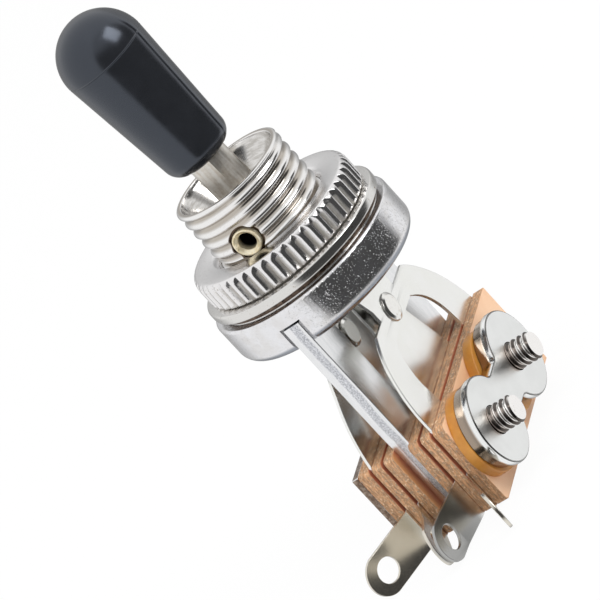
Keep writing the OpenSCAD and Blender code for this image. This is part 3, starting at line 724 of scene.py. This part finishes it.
# The side's rows in millimetres: below the front face, and in from the widest outline.
barrel = [(0, 0.20), (0.03, 0.12), (0.09, 0.06), (0.18, 0.03), (0.40, 0), (0.6, 0.02),
          (0.8, 0.07), (1.0, 0.16), (thick - 0.1, 0.30), (thick, 0.38)]
bm = softened("nut_plate", 0, 1, 180)
for depth, inset in barrel[1:-1]:
    sliced(bm, (plate_high.x - depth * mm, 0, 0), (1, 0, 0))
moves = []
for v in bm.verts:
    if min((v.co - hole).yz.length for hole in screw_axes) > hole_rim:
        sides = (f.normal for f in v.link_faces if abs(f.normal.x) < 0.5)
        outward = sum(sides, Vector()).normalized()
        below_face = (plate_high.x - v.co.x) / mm
        moves += [(v, outward * inset * mm) for depth, inset in barrel
                  if abs(depth - below_face) < 0.002]
for v, move in moves:
    v.co -= move
finished("rounded_nut_plate", bm, plate_nickel, replaced=["nut_plate"], corner=18)

clamp_steel = Finish("clamp steel", "plate_nickel", Metallic=1.0)
rust = clamp_steel.noise(2600.0, 4.0, 0.65)
cut_side = abs(clamp_steel.facing.axis("Y")).fade(0.8, 0.95)
cut_side = cut_side + abs(clamp_steel.facing.axis("Z")).fade(0.8, 0.95)
tone = rust.fade(0.4, 0.65).tint((0.16, 0.11, 0.08), (0.34, 0.27, 0.22))
clamp_steel.set(Base_Color=cut_side.tint((0.84, 0.85, 0.85), tone),
                Roughness=rust.fade(0.3, 0.7, 0.16, 0.34))
clamp_steel.bump(rust, 0.02 * mm, 0.6)
finished("edged_clamp_plate", softened("clamp_plate", 0.13 * mm, 3), clamp_steel,
         replaced=["clamp_plate"], corner=20)

amber = Finish("amber resin", "amber_resin", IOR=1.5, Subsurface_Weight=0.15,
               Subsurface_Radius=(0.5 * mm, 0.2 * mm, 0.05 * mm))
swirl = amber.noise(380.0, 4.0, 0.6)
specks = amber.noise(3000.0, 3.0, 0.6)
amber.set(Base_Color=swirl.fade(0.3, 0.7).tint((0.48, 0.19, 0.028), (0.62, 0.28, 0.048)),
          Roughness=specks.fade(0.3, 0.7, 0.30, 0.46))
amber.bump(specks * 0.4 + swirl, 0.04 * mm, 0.5)
finished("moulded_spacer", softened("amber_spacer", 0.12 * mm, 3), amber,
         replaced=["amber_spacer"], corner=25)

# ---- screws and sleeves ----------------------------------------------------------
# Two plated machine screws run through the whole stack, each in an insulating tube.
# Their threaded ends stand out of the nut plate, and their slotted heads are low.
screw_steel = Finish("plated screw steel", "screw_steel", Metallic=1.0)
stain = screw_steel.noise(3000.0, 4.0, 0.6)
plate_face = plate_high.x
along = screw_steel.here.axis("X")
# Painted shade: the thread is coloured darker and browner close to the nut plate.
near_plate = along.fade(plate_face, plate_face + 1.3 * mm, 1.0, 0.0)
near_plate = near_plate * along.fade(0.0, 1.0 * mm)
# Painted shade: one flank of each thread turn and the end's chamfer are coloured near black.
turning = screw_steel.facing.axis("X")
flank = turning.fade(0.30, 0.60) * turning.fade(0.90, 0.98, 1.0, 0.0)
tone = stain.fade(0.62, 0.78).tint((0.90, 0.88, 0.86), (0.56, 0.49, 0.43))
tone = near_plate.tint(tone, (0.48, 0.40, 0.35))
screw_steel.set(Base_Color=flank.tint(tone, (0.11, 0.095, 0.085)),
                Roughness=stain.fade(0.3, 0.7, 0.10, 0.18))
screw_steel.bump(stain, 0.006 * mm, 0.5)
screw_r, screw_pitch, screw_groove, screw_end = 1.45 * mm, 0.7 * mm, 0.27 * mm, 0.2 * mm
head_r, head_edge, drive_slot = 2.3 * mm, 0.3 * mm, (6 * mm, 0.8 * mm, 0.72 * mm)
shank_rows, shank_start = 44, plate_face - 0.4 * mm
along_x = Matrix.Rotation(math.radians(90), 4, "Y")
clamp_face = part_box("clamp_plate")[0].x
for node in ("screw_near", "screw_far"):
    low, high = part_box(node)
    middle = Vector((0, (low.y + high.y) / 2, (low.z + high.z) / 2))
    shank = [(screw_r, shank_start + (high.x - screw_end - shank_start) * i / shank_rows)
             for i in range(shank_rows + 1)]
    profile = ([(0, low.x), (head_r - head_edge, low.x)]
               + arc(head_r - head_edge, low.x + head_edge, head_edge, -75, 0, 4)
               + [(head_r, clamp_face), (screw_r, clamp_face)] + shank
               + [(screw_r - screw_end, high.x), (0, high.x)])
    bm = turned(profile, steps=72)
    cut_thread(bm, screw_r, screw_pitch, screw_groove, plate_face - 0.5 * mm, high.x + 0.05 * mm)
    bm = hollowed(bm, block(drive_slot, (0, 0, low.x)))
    bm.transform(Matrix.Translation(middle) @ along_x)
    finished(f"threaded_{node}", bm, screw_steel, replaced=[node], corner=40)

sleeve_plastic = Finish("sleeve tube", "sleeve_plastic", Roughness=0.5)
pulp = sleeve_plastic.noise(2200.0, 4.0, 0.6)
sleeve_plastic.set(Base_Color=pulp.tint((0.60, 0.55, 0.44), (0.78, 0.74, 0.64)),
                   Roughness=pulp.fade(0.3, 0.7, 0.45, 0.60))
sleeve_plastic.bump(pulp, 0.03 * mm, 0.6)
dress("sleeve_near", sleeve_plastic)
dress("sleeve_far", sleeve_plastic)

low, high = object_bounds()
